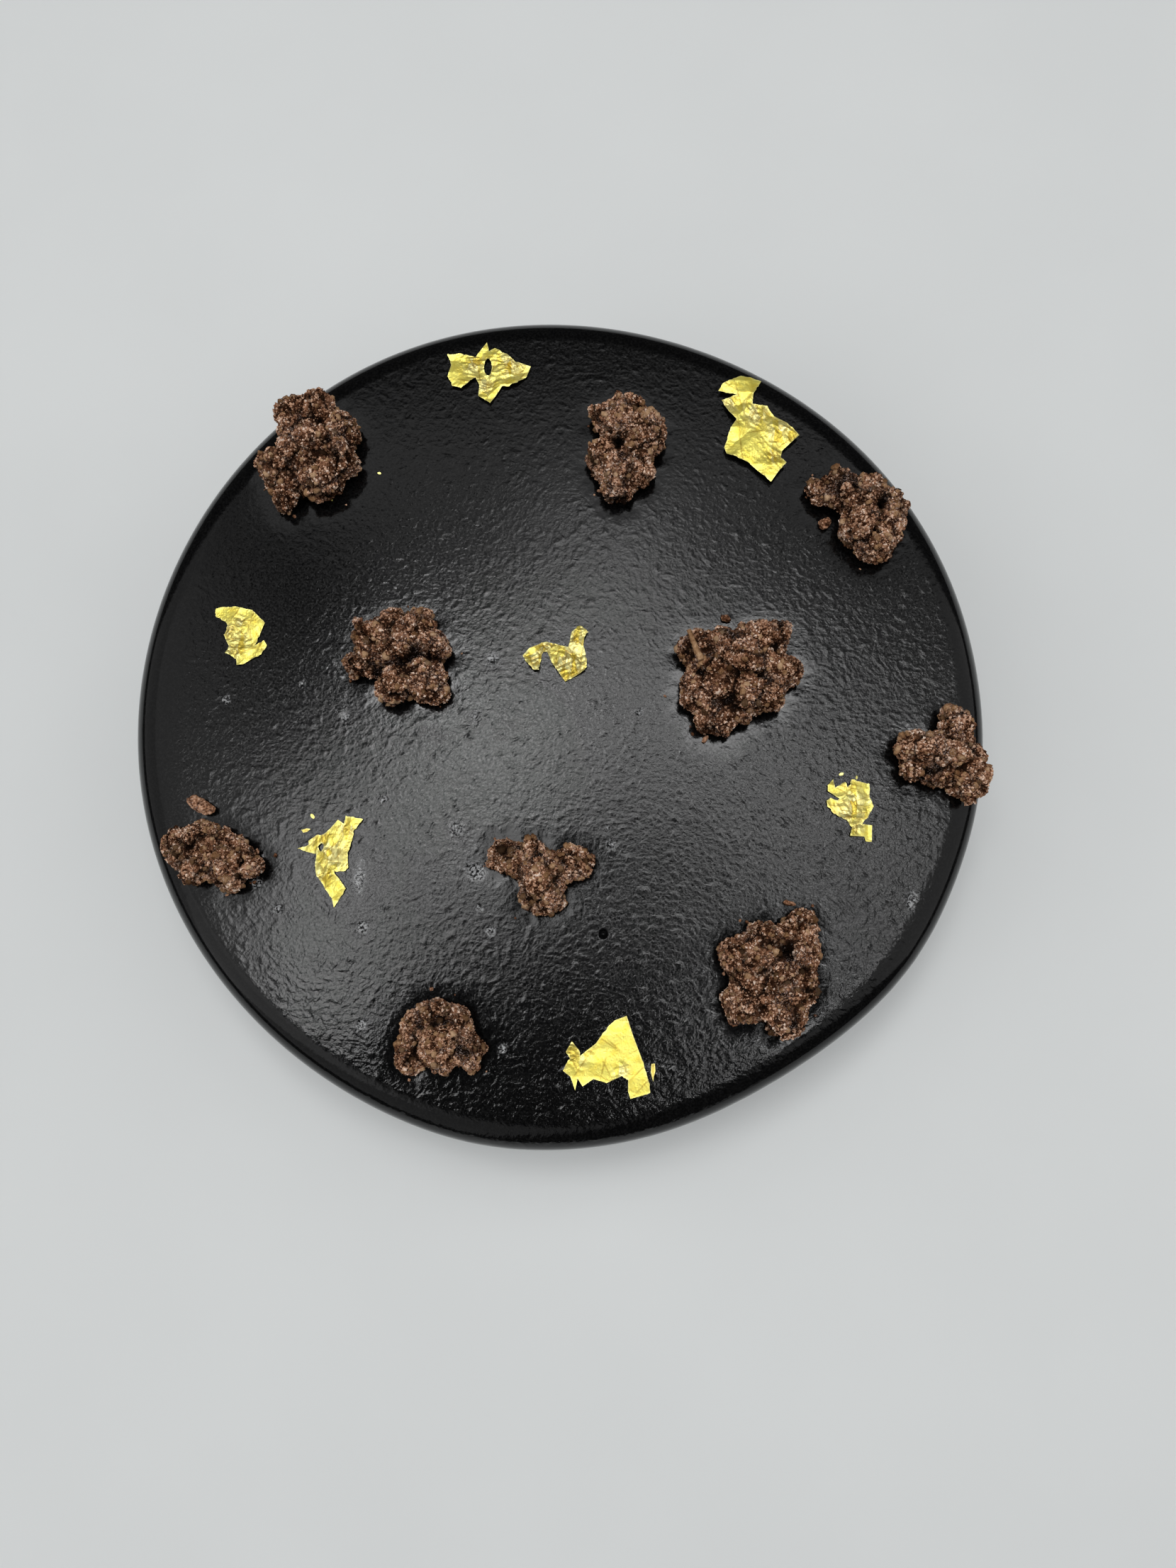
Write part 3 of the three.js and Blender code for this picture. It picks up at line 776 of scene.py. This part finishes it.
def makeClump(nodeName, material, seed):
    draw = np.random.default_rng(seed)
    core = clumpCore(nodeName, draw)
    points, normals = meshPoints(core) / mm, meshPoints(core, "normal")
    rise = cragHeights(points, seed)
    floor = points[:, 2].min() - crumble["settle"]
    points = points + normals * rise[:, None]
    for x, y, reach, depth in crumbleHollows:
        pressed = depth * bell(np.hypot(points[:, 0] - x, points[:, 1] - y), reach)
        points[:, 2] -= pressed
        # a pressed place also counts as lower, so it gets more painted crevice shade
        rise = rise - pressed / 2
    points[:, 2] = np.maximum(points[:, 2], floor)
    core.calc_loop_triangles()
    tris = np.empty(len(core.loop_triangles) * 3, int)
    core.loop_triangles.foreach_get("vertices", tris)
    tris = tris.reshape(-1, 3)
    bpy.data.meshes.remove(core)
    corner = points[tris]
    cross = np.cross(corner[:, 1] - corner[:, 0], corner[:, 2] - corner[:, 0])
    area = np.linalg.norm(cross, axis=1)
    outward = cross / np.maximum(area, 1e-9)[:, None]
    weight = area * (outward[:, 2] > -0.3)
    # the core takes the dark painted-shade tone, so the gaps between grains read as shade
    parts = [(points, tris, np.full(len(points), crumble["coreTone"]), np.zeros(len(points)), rise)]
    kinds = [  # how many, how large, how uneven, in which tones, and whether tan
        ("tanGrains", "tanGrainSize", "tanJag", "tanTones", 1),
        ("grains", "grainSize", "jag", "grainTones", 0),
    ]
    for *keys, tan in kinds:
        count, (small, large), jag, (dark, pale) = (crumble[key] for key in keys)
        base = grainBase(tan)
        picked = draw.choice(len(tris), count, p=weight / weight.sum())
        sizes = small + (large - small) * draw.random(count) ** 2
        seats = np.einsum("nk,nkj->nj", draw.dirichlet((1, 1, 1), count), corner[picked])
        seats = seats - outward[picked] * (sizes * crumble["sink"])[:, None]
        grown, faces = scatterGrains(seats, sizes, base, jag, draw)
        repeat = len(base[0])
        tones = dark + (pale - dark) * draw.random(count) ** crumble["darker"]
        # each grain takes the crag height of its seat, so grains in hollows are painted darker as shade
        parts.append((grown, faces, np.repeat(tones, repeat),
                      np.full(count * repeat, float(tan)), np.repeat(rise[tris[picked, 0]], repeat)))
    mesh = joinParts(parts, nodeName)
    smoothShade(mesh, len(parts[0][1]) + len(parts[1][1]))
    piece = newPiece("crumbleClump" + nodeName[-3:], mesh, material, [nodeName])
    print(nodeName, len(mesh.polygons), "faces")
    return piece


def makeStick(clump, material):
    (startX, startY), (endX, endY), (thin, thick) = crumble["stick"]
    points = meshPoints(clump.data) / mm
    levels = []
    for x, y in ((startX, startY), (endX, endY)):
        near = np.hypot(points[:, 0] - x, points[:, 1] - y) < 2 * thick
        levels.append(points[near, 2].max())
    start, end = Vector((startX, startY, levels[0])), Vector((endX, endY, levels[1]))
    shape = bmesh.new()
    bmesh.ops.create_cone(shape, cap_ends=True, segments=10, radius1=thin, radius2=thick,
                          depth=(end - start).length)
    sides = [edge for edge in shape.edges if abs(edge.verts[0].co.z - edge.verts[1].co.z) > thick]
    bmesh.ops.subdivide_edges(shape, edges=sides, cuts=14)
    turn = (end - start).to_track_quat("Z", "Y").to_matrix().to_4x4()
    bmesh.ops.transform(shape, matrix=Matrix.Translation((start + end) / 2) @ turn, verts=shape.verts)
    mesh = toMesh(shape, "crumbleStick")
    points, normals = meshPoints(mesh), meshPoints(mesh, "normal")
    points = points + normals * lumpRise(points, crumble["stickRise"], seeds["stick"])[:, None]
    setPoints(mesh, points * mm)
    setValues(mesh, tone=crumble["stickTone"], tan=1, crag=0)
    smoothShade(mesh)
    newPiece("crumbleStick", mesh, material)


def makeCrumb(nodeName, material, seed):
    core = remeshed(nodeCopy(nodeName), [(crumble["crumbVoxel"], 0)])
    points, normals = meshPoints(core) / mm, meshPoints(core, "normal")
    rise = lumpRise(points, crumble["crumbRise"], seed)
    points = points + normals * rise[:, None]
    points[:, 2] -= crumble["settle"]
    setPoints(core, points * mm)
    middle, swing, size = crumble["crumbTone"]
    # the lumps set the crag height, so the crumb's hollows are painted darker and its tops lighter
    setValues(core, tone=middle + swing * noiseField(points, size, seed + 2), tan=0, crag=rise * 2)
    smoothShade(core)
    newPiece("looseCrumb" + nodeName[-3:], core, material, [nodeName])
    print(nodeName, len(core.polygons), "faces")


def makeStrays(material):
    draw = np.random.default_rng(seeds["strays"])
    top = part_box("glazed_cake")[1].z / mm
    seats = [(x, y, top + 0.5 * size) for x, y, size in crumble["strayAt"]]
    sizes = [size for x, y, size in crumble["strayAt"]]
    for nodeName in crumbleNodes:
        low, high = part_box(nodeName)
        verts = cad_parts[nodeName].data.vertices
        feet = [vert.co.xy / mm for vert in verts if vert.co.z < low.z + crumble["footHeight"] * mm]
        middle = (low + high).xy / 2 / mm
        for foot in draw.choice(np.array(feet), crumble["strays"]):
            outward = (Vector(foot) - middle).normalized()
            place = Vector(foot) + outward * draw.uniform(*crumble["strayReach"])
            size = draw.uniform(*crumble["straySize"])
            if place.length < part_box("glazed_cake")[1].x / mm - crumble["strayMargin"]:
                seats.append((place.x, place.y, top + 0.5 * size))
                sizes.append(size)
    base = grainBase(1)
    points, faces = scatterGrains(np.array(seats), np.array(sizes), base, crumble["jag"], draw)
    tones = np.repeat(draw.uniform(*crumble["strayTones"], len(seats)), len(base[0]))
    mesh = joinParts([(points, faces, tones, np.zeros(len(points)), np.zeros(len(points)))], "strayCrumbs")
    newPiece("strayCrumbs", mesh, material)
    print("stray crumbs:", len(seats))


def crumbleMaterial():
    material, shader = newMaterial("cocoaCrumble")
    place = objectPlace(material)
    patch = noiseAt(material, place, crumble["patchSize"], 3, 0.6)
    speck = noiseAt(material, place, crumble["speckSize"], 2, 0.6)
    blotch = rangeOf(material, patch, 0.3, 0.7, -0.28, 0.28)
    tone = math2(material, "ADD", attribute(material, "tone"), blotch)
    tone = math2(material, "ADD", tone, rangeOf(material, speck, 0.3, 0.7, -0.2, 0.2))
    # higher crag heights are painted lighter and lower ones darker, as painted light on tips and shade in
    # hollows
    crag = attribute(material, "crag")
    tone = math2(material, "ADD", tone, rangeOf(material, crag, -0.5, 0.9, -0.1, 0.14))
    brown = ramp(material, tone, crumble["browns"])
    brown = blendTones(material, attribute(material, "tan"), brown, ramp(material, tone, crumble["tans"]))
    # low crag heights are painted near-black, as shade in crevices and hollows
    creviceShadeShare = rangeOf(material, crag, -1.1, 0.0)
    brown = blendTones(material, creviceShadeShare, crumble["deepTone"], brown)
    frostSpeck, frostPatch = crumble["frostSize"]
    frost = rangeOf(material, noiseAt(material, place, frostSpeck, 2, 0.7), 0.56, 0.68)
    frosted = rangeOf(material, noiseAt(material, place, frostPatch, 2), 0.5, 0.64)
    brown = blendTones(material, math2(material, "MULTIPLY", frost, frosted), brown, crumble["frostTone"])
    plug(material, brown, shader.inputs["Base Color"])
    plug(material, bump(material, speck, crumble["speckBump"]), shader.inputs["Normal"])
    shader.inputs["Roughness"].default_value = crumble["roughness"]
    shader.inputs["Specular IOR Level"].default_value = crumble["specular"]
    return material


# gold leaf

leafLooks = {
    "edge": 0.26,  # longest edge of the fine sheet
    "thickness": 0.04,
    "clear": 0.1,  # the lowest part of a leaf lies this far above the glaze
    "speckClear": 0.12,  # and a speck this far
    "bend": 0.10,
    "bendSize": 6.0,
    "creases": 16,  # straight folds in one leaf
    "creaseSlope": 0.06,
    "creaseReach": 1.8,
    "creaseLength": (1.5, 5),
    "creaseLine": 0.16,  # half width of the shade painted along it
    "crinkle": 0.03,
    "crinkleSize": 0.9,
    "crumple": (0.10, 0.34),  # slopes of the folds where a leaf is bunched up
    "crumpleSize": (1.0, 3.2),
    "crumpleWaves": 8,
    "torn": 0.13,  # how far the torn edge strays
    "tornSize": 1.1,
    "tornReach": 0.8,
    # width of the painted highlight along the torn edge
    "paleEdge": 0.22,
    "facet": 1.4,  # size of the folded facets
    "facetTurn": -25,  # degrees
    "patchSize": 2.2,
    "veinTurn": 38,
    "veinSize": 0.3,
    "veinPatch": 3.5,
    "golds": [(0.34, (1.0, 0.80, 0.10)), (0.56, (1.0, 0.89, 0.17))],
    # each facet is painted lighter or darker, as though it faced the light differently
    "facetGolds": [(0.2, (0.80, 0.58, 0.05)), (0.32, (1.0, 0.87, 0.17)), (0.55, (1.0, 0.96, 0.46))],
    # darker gold painted along the fine fanned wrinkles, as their shade
    "veinTone": (0.70, 0.52, 0.06, 1),
    "gapTone": (0.46, 0.28, 0.015, 1),  # painted shade in the creases between the facets
    # painted shade along creases and fold valleys
    "foldTone": (0.42, 0.25, 0.015, 1),
    # painted highlight along the torn edges
    "rimTone": (1.0, 0.93, 0.36, 1),
    "metallic": 0.55,
    "roughness": (0.30, 0.42),
    "bump": 0.035,
    # these lie flatter than the others
    "flat": {"gold_flake_01": 0.4, "gold_flake_02": 0.4, "gold_leaf_07": 0.4, "gold_leaf_04": 0.6},
}

# where each leaf is bunched up: x, y and reach
leafBunches = {
    "gold_leaf_01": [(-19.4, 78.5, 2.1), (-16.5, 73.6, 2.0), (-11.0, 78.8, 3.0)],
    "gold_leaf_02": [(43.7, 66.6, 2.5), (49.3, 62.1, 3.0), (47.7, 56.7, 1.8), (37.6, 68.8, 1.8)],
    "gold_leaf_03": [(-69.4, 14.3, 2.4), (-71.4, 16.2, 1.5), (-69.9, 12.4, 2.0), (-68.7, 18.2, 1.2)],
    "gold_leaf_04": [(0.0, 11.0, 12.0)],
    "gold_leaf_05": [(62.7, -20.9, 3.0), (61.3, -22.4, 2.0), (63.7, -25.3, 1.2)],
    "gold_leaf_06": [(-49.2, -29.2, 2.2), (-46.4, -32.3, 3.0), (-43.2, -26.5, 1.6), (-47.5, -36.2, 2.0)],
    "gold_leaf_07": [(4.8, -71.8, 2.5), (14.9, -75.6, 1.2)],
}

# torn-off specks of foil: x, y and radius
leafSpecks = [
    (-39.8, 52.9, 0.35), (-50.1, 46.6, 0.3), (60.6, -14.1, 0.42), (63.8, -14.8, 0.36),
    (-50.8, -24.0, 0.5),
]


def leafSheet(nodeName):
    shape = nodeCopy(nodeName)
    shape.normal_update()
    under = [face for face in shape.faces if face.normal.z < 0.25]
    bmesh.ops.delete(shape, geom=under, context="FACES")
    for _ in range(7):
        coarse = [edge for edge in shape.edges if edge.calc_length() > leafLooks["edge"] * mm]
        if not coarse:
            break
        bmesh.ops.subdivide_edges(shape, edges=coarse, cuts=1)
        bmesh.ops.triangulate(shape, faces=shape.faces)
    for _ in range(4):
        inner = [vert for vert in shape.verts if not vert.is_boundary]
        bmesh.ops.smooth_vert(shape, verts=inner, factor=0.5,
                              use_axis_x=True, use_axis_y=True, use_axis_z=True)
    border = [vert.co.copy() for vert in shape.verts if vert.is_boundary]
    return toMesh(shape, nodeName), border


def nearness(points, border, reach):
    # 1 at the torn edge, falling to 0 inside
    tree = treeOf(border)
    return bell(np.array([tree.find(Vector(p) * mm)[2] for p in points]) / mm, reach)


def leafFolds(flat, draw):
    # straight creases with flat flanks, and how near each point is to one, for the shade painted along it
    rise, fold = np.zeros(len(flat)), np.zeros(len(flat))
    low, high = flat.min(0), flat.max(0)
    for _ in range(leafLooks["creases"]):
        through = low + (high - low) * draw.random(3)
        turn = draw.uniform(0, math.pi)
        slope = leafLooks["creaseSlope"] * draw.uniform(0.3, 1.0) * draw.choice([-1, 1])
        away = np.abs((flat - through) @ np.array([math.cos(turn), math.sin(turn), 0]))
        along = (flat - through) @ np.array([-math.sin(turn), math.cos(turn), 0])
        local = bell(along, draw.uniform(*leafLooks["creaseLength"]))
        rise += slope * (np.minimum(away, leafLooks["creaseReach"]) - leafLooks["creaseReach"]) * local
        fold = np.maximum(fold, 0.8 * bell(away, leafLooks["creaseLine"]) * local)
    return rise, fold


def leafCrumple(nodeName, flat, seed, draw):
    # zigzag folds in several directions where the leaf is bunched up, and the shade painted in their
    # valleys
    bunch = np.zeros(len(flat))
    for x, y, reach in leafBunches.get(nodeName, []):
        bunch = np.maximum(bunch, bell(np.hypot(flat[:, 0] - x, flat[:, 1] - y), 1.2 * reach))
    stray = np.stack([noiseField(flat, 2.4, seed), noiseField(flat, 2.4, seed + 1), flat[:, 2]], 1)
    pushed = flat + 0.7 * stray
    rise, fold = np.zeros(len(flat)), np.zeros(len(flat))
    for wave in range(leafLooks["crumpleWaves"]):
        turn, length = draw.uniform(0, math.pi), draw.uniform(*leafLooks["crumpleSize"])
        along = pushed @ np.array([math.cos(turn), math.sin(turn), 0]) / length + draw.random()
        zigzag = 2 * np.abs(along % 1 - 0.5)
        local = np.clip(0.55 + 1.5 * noiseField(flat, 3, seed + 2 + wave), 0, 1)
        rise += draw.uniform(*leafLooks["crumple"]) * length / 2 * (zigzag - 0.5) * local
        fold = np.maximum(fold, bell(zigzag * length / 2, 0.1) * local)
    return bunch * rise, bunch * fold, bunch


def tearEdge(points, rim, seed):
    # the outline strays in and out near the torn edge
    for size, share in ((leafLooks["tornSize"], 1.0), (0.45 * leafLooks["tornSize"], 0.6)):
        flat = points * np.array([1, 1, 0])
        stray = np.stack([noiseField(flat, size, seed), noiseField(flat, size, seed + 1), flat[:, 2]], 1)
        ragged = np.clip(0.5 + 2.5 * noiseField(flat, 4, seed + 2), 0, 1)
        points = points + leafLooks["torn"] * share * 2 * stray * (rim * ragged)[:, None]
    return points


def makeLeaf(nodeName, material, seed):
    draw = np.random.default_rng(seed)
    mesh, border = leafSheet(nodeName)
    points = meshPoints(mesh) / mm
    # how near each point is to the edge, for the painted edge highlight
    rim = nearness(points, border, leafLooks["paleEdge"])
    points = tearEdge(points, nearness(points, border, leafLooks["tornReach"]), seed + 5)
    flat = points * np.array([1, 1, 0])
    lively = leafLooks["flat"].get(nodeName, 1.0)
    rise, fold = leafFolds(flat, draw)
    bunchRise, bunchFoldShade, bunch = leafCrumple(nodeName, flat, seed + 3, draw)
    bend = lively * leafLooks["bend"] * noiseField(flat, leafLooks["bendSize"], seed)
    rise = lively * rise + bunchRise + bend
    rise += lively * leafLooks["crinkle"] * noiseField(flat, leafLooks["crinkleSize"], seed + 1, octaves=2)
    if lively < 1:
        points[:, 2] = points[:, 2].min() + lively * (points[:, 2] - points[:, 2].min())
    points[:, 2] += rise
    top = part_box("glazed_cake")[1].z / mm
    points[:, 2] += top + leafLooks["clear"] - points[:, 2].min()
    setPoints(mesh, points * mm)
    setValues(mesh, fold=np.maximum(fold, bunchFoldShade), rim=rim, bunch=bunch)
    shape = bmesh.new()
    shape.from_mesh(mesh)
    sheet = shape.faces[:]
    grown = bmesh.ops.extrude_face_region(shape, geom=sheet, use_keep_orig=True)["geom"]
    upper = [vert for vert in grown if isinstance(vert, bmesh.types.BMVert)]
    bmesh.ops.translate(shape, verts=upper, vec=(0, 0, leafLooks["thickness"] * mm))
    bmesh.ops.recalc_face_normals(shape, faces=shape.faces)
    shape.to_mesh(mesh)
    shape.free()
    kind = "goldFlake_" if "flake" in nodeName else "goldLeaf_"
    newPiece(kind + nodeName[-2:], mesh, material, [nodeName])
    print(nodeName, len(mesh.polygons), "faces")


def makeSpecks(material):
    draw = np.random.default_rng(seeds["specks"])
    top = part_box("glazed_cake")[1].z
    shape = bmesh.new()
    for x, y, radius in leafSpecks:
        size = radius * mm
        made = bmesh.ops.create_cone(shape, cap_ends=True, segments=9, radius1=size, radius2=size,
                                     depth=leafLooks["thickness"] * mm)["verts"]
        place = Matrix.Translation((x * mm, y * mm, top + leafLooks["speckClear"] * mm))
        stretch = Matrix.Diagonal((1.2, 0.7, 1, 1))
        tilt = Euler((draw.normal(0, 0.15), draw.normal(0, 0.15), draw.uniform(0, 6)))
        bmesh.ops.transform(shape, matrix=place @ tilt.to_matrix().to_4x4() @ stretch, verts=made)
    mesh = toMesh(shape, "goldSpecks")
    # a speck is painted with the full edge highlight
    setValues(mesh, fold=0, rim=1, bunch=0)
    newPiece("goldSpecks", mesh, material)
    print("gold specks:", len(leafSpecks))


def goldMaterial():
    material, shader = newMaterial("goldLeafFoil")
    place = objectPlace(material)
    patch = noiseAt(material, place, leafLooks["patchSize"], 3, 0.6)
    pale = ramp(material, patch, leafLooks["golds"])
    fanned = objectPlace(material, scale=(1, 0.2, 1), turn=leafLooks["veinTurn"])
    lines = noiseAt(material, wander(material, fanned, 1.5, 0.5), leafLooks["veinSize"], 2, 0.6,
                    kind="RIDGED_MULTIFRACTAL")
    veined = noiseAt(material, place, leafLooks["veinPatch"], 2)
    # fine fanned wrinkle lines, painted darker in patches as shade in the wrinkles
    wrinkleShade = math2(material, "MULTIPLY", rangeOf(material, lines, 0.9, 1.25),
                  rangeOf(material, veined, 0.38, 0.55, 0.0, 0.85))
    tone = blendTones(material, wrinkleShade, pale, leafLooks["veinTone"])
    bunch = attribute(material, "bunch")
    folded = objectPlace(material, scale=(1, 0.45, 1), turn=leafLooks["facetTurn"])
    folded = wander(material, folded, 1.4, 1.0)
    facets = {"Vector": folded, "Scale": 1 / (leafLooks["facet"] * mm)}
    cell = addNode(material, "TexVoronoi", facets, feature="F1").outputs["Color"]
    gap = addNode(material, "TexVoronoi", facets, feature="DISTANCE_TO_EDGE").outputs["Distance"]
    # where the leaf is bunched up, facets are painted lighter or darker and their borders dark, as light
    # and shade on folded foil
    shade = ramp(material, cell, leafLooks["facetGolds"])
    shade = blendTones(material, rangeOf(material, gap, 0.0, 0.035, 0.1, 1), leafLooks["gapTone"], shade)
    tone = blendTones(material, math2(material, "MULTIPLY", bunch, 0.85), tone, shade)
    # fold lines are painted darker gold, as shade in the crease valleys
    tone = blendTones(material, attribute(material, "fold"), tone, leafLooks["foldTone"])
    # a pale painted highlight along the torn edge
    rim = math2(material, "MULTIPLY", attribute(material, "rim"), 0.6)
    tone = blendTones(material, rim, tone, leafLooks["rimTone"])
    plug(material, tone, shader.inputs["Base Color"])
    shader.inputs["Metallic"].default_value = leafLooks["metallic"]
    rough = rangeOf(material, noiseAt(material, place, 1.2, 2), 0.3, 0.7, *leafLooks["roughness"])
    plug(material, rough, shader.inputs["Roughness"])
    crinkle = noiseAt(material, wander(material, place, 2, 1), 0.6, 2, 0.6, kind="RIDGED_MULTIFRACTAL")
    height = math2(material, "ADD", crinkle, lines)
    creased = math2(material, "MULTIPLY", math2(material, "MULTIPLY", gap, bunch), 1.5)
    height = math2(material, "ADD", height, creased)
    plug(material, bump(material, height, leafLooks["bump"]), shader.inputs["Normal"])
    return material


# floor

def floorMaterial():
    material, shader = newMaterial("paleFloor")
    place = objectPlace(material)
    mottle = noiseAt(material, place, 60, 3, 0.5)
    tone = studio["floorTone"]
    shade = tuple(0.98 * part for part in tone)
    plug(material, ramp(material, mottle, [(0.35, shade), (0.65, tone)]), shader.inputs["Base Color"])
    shader.inputs["Roughness"].default_value = 0.6
    shader.inputs["Specular IOR Level"].default_value = 0.2
    return material


def addFloor():
    shape = bmesh.new()
    bmesh.ops.create_grid(shape, x_segments=1, y_segments=1, size=studio["floorSize"] / 2)
    mesh = toMesh(shape, "floor")
    mesh.materials.append(floorMaterial())
    floor = bpy.data.objects.new("floor", mesh)
    scene.collection.objects.link(floor)


addCamera()
addLights()
addFloor()
print("camera, lights and floor are in place")

makeGlaze(glazeMaterial())

crumbleFinish = crumbleMaterial()
clumps = {}
for index, nodeName in enumerate(crumbleNodes):
    clumps[nodeName] = makeClump(nodeName, crumbleFinish, seeds["clump"] + 3 * index)
makeStick(clumps["crumble_05"], crumbleFinish)
for index, nodeName in enumerate(crumbNodes):
    makeCrumb(nodeName, crumbleFinish, seeds["crumb"] + index)
makeStrays(crumbleFinish)

goldFinish = goldMaterial()
for index, nodeName in enumerate(leafNodes):
    makeLeaf(nodeName, goldFinish, seeds["leaf"] + 2 * index)
makeSpecks(goldFinish)
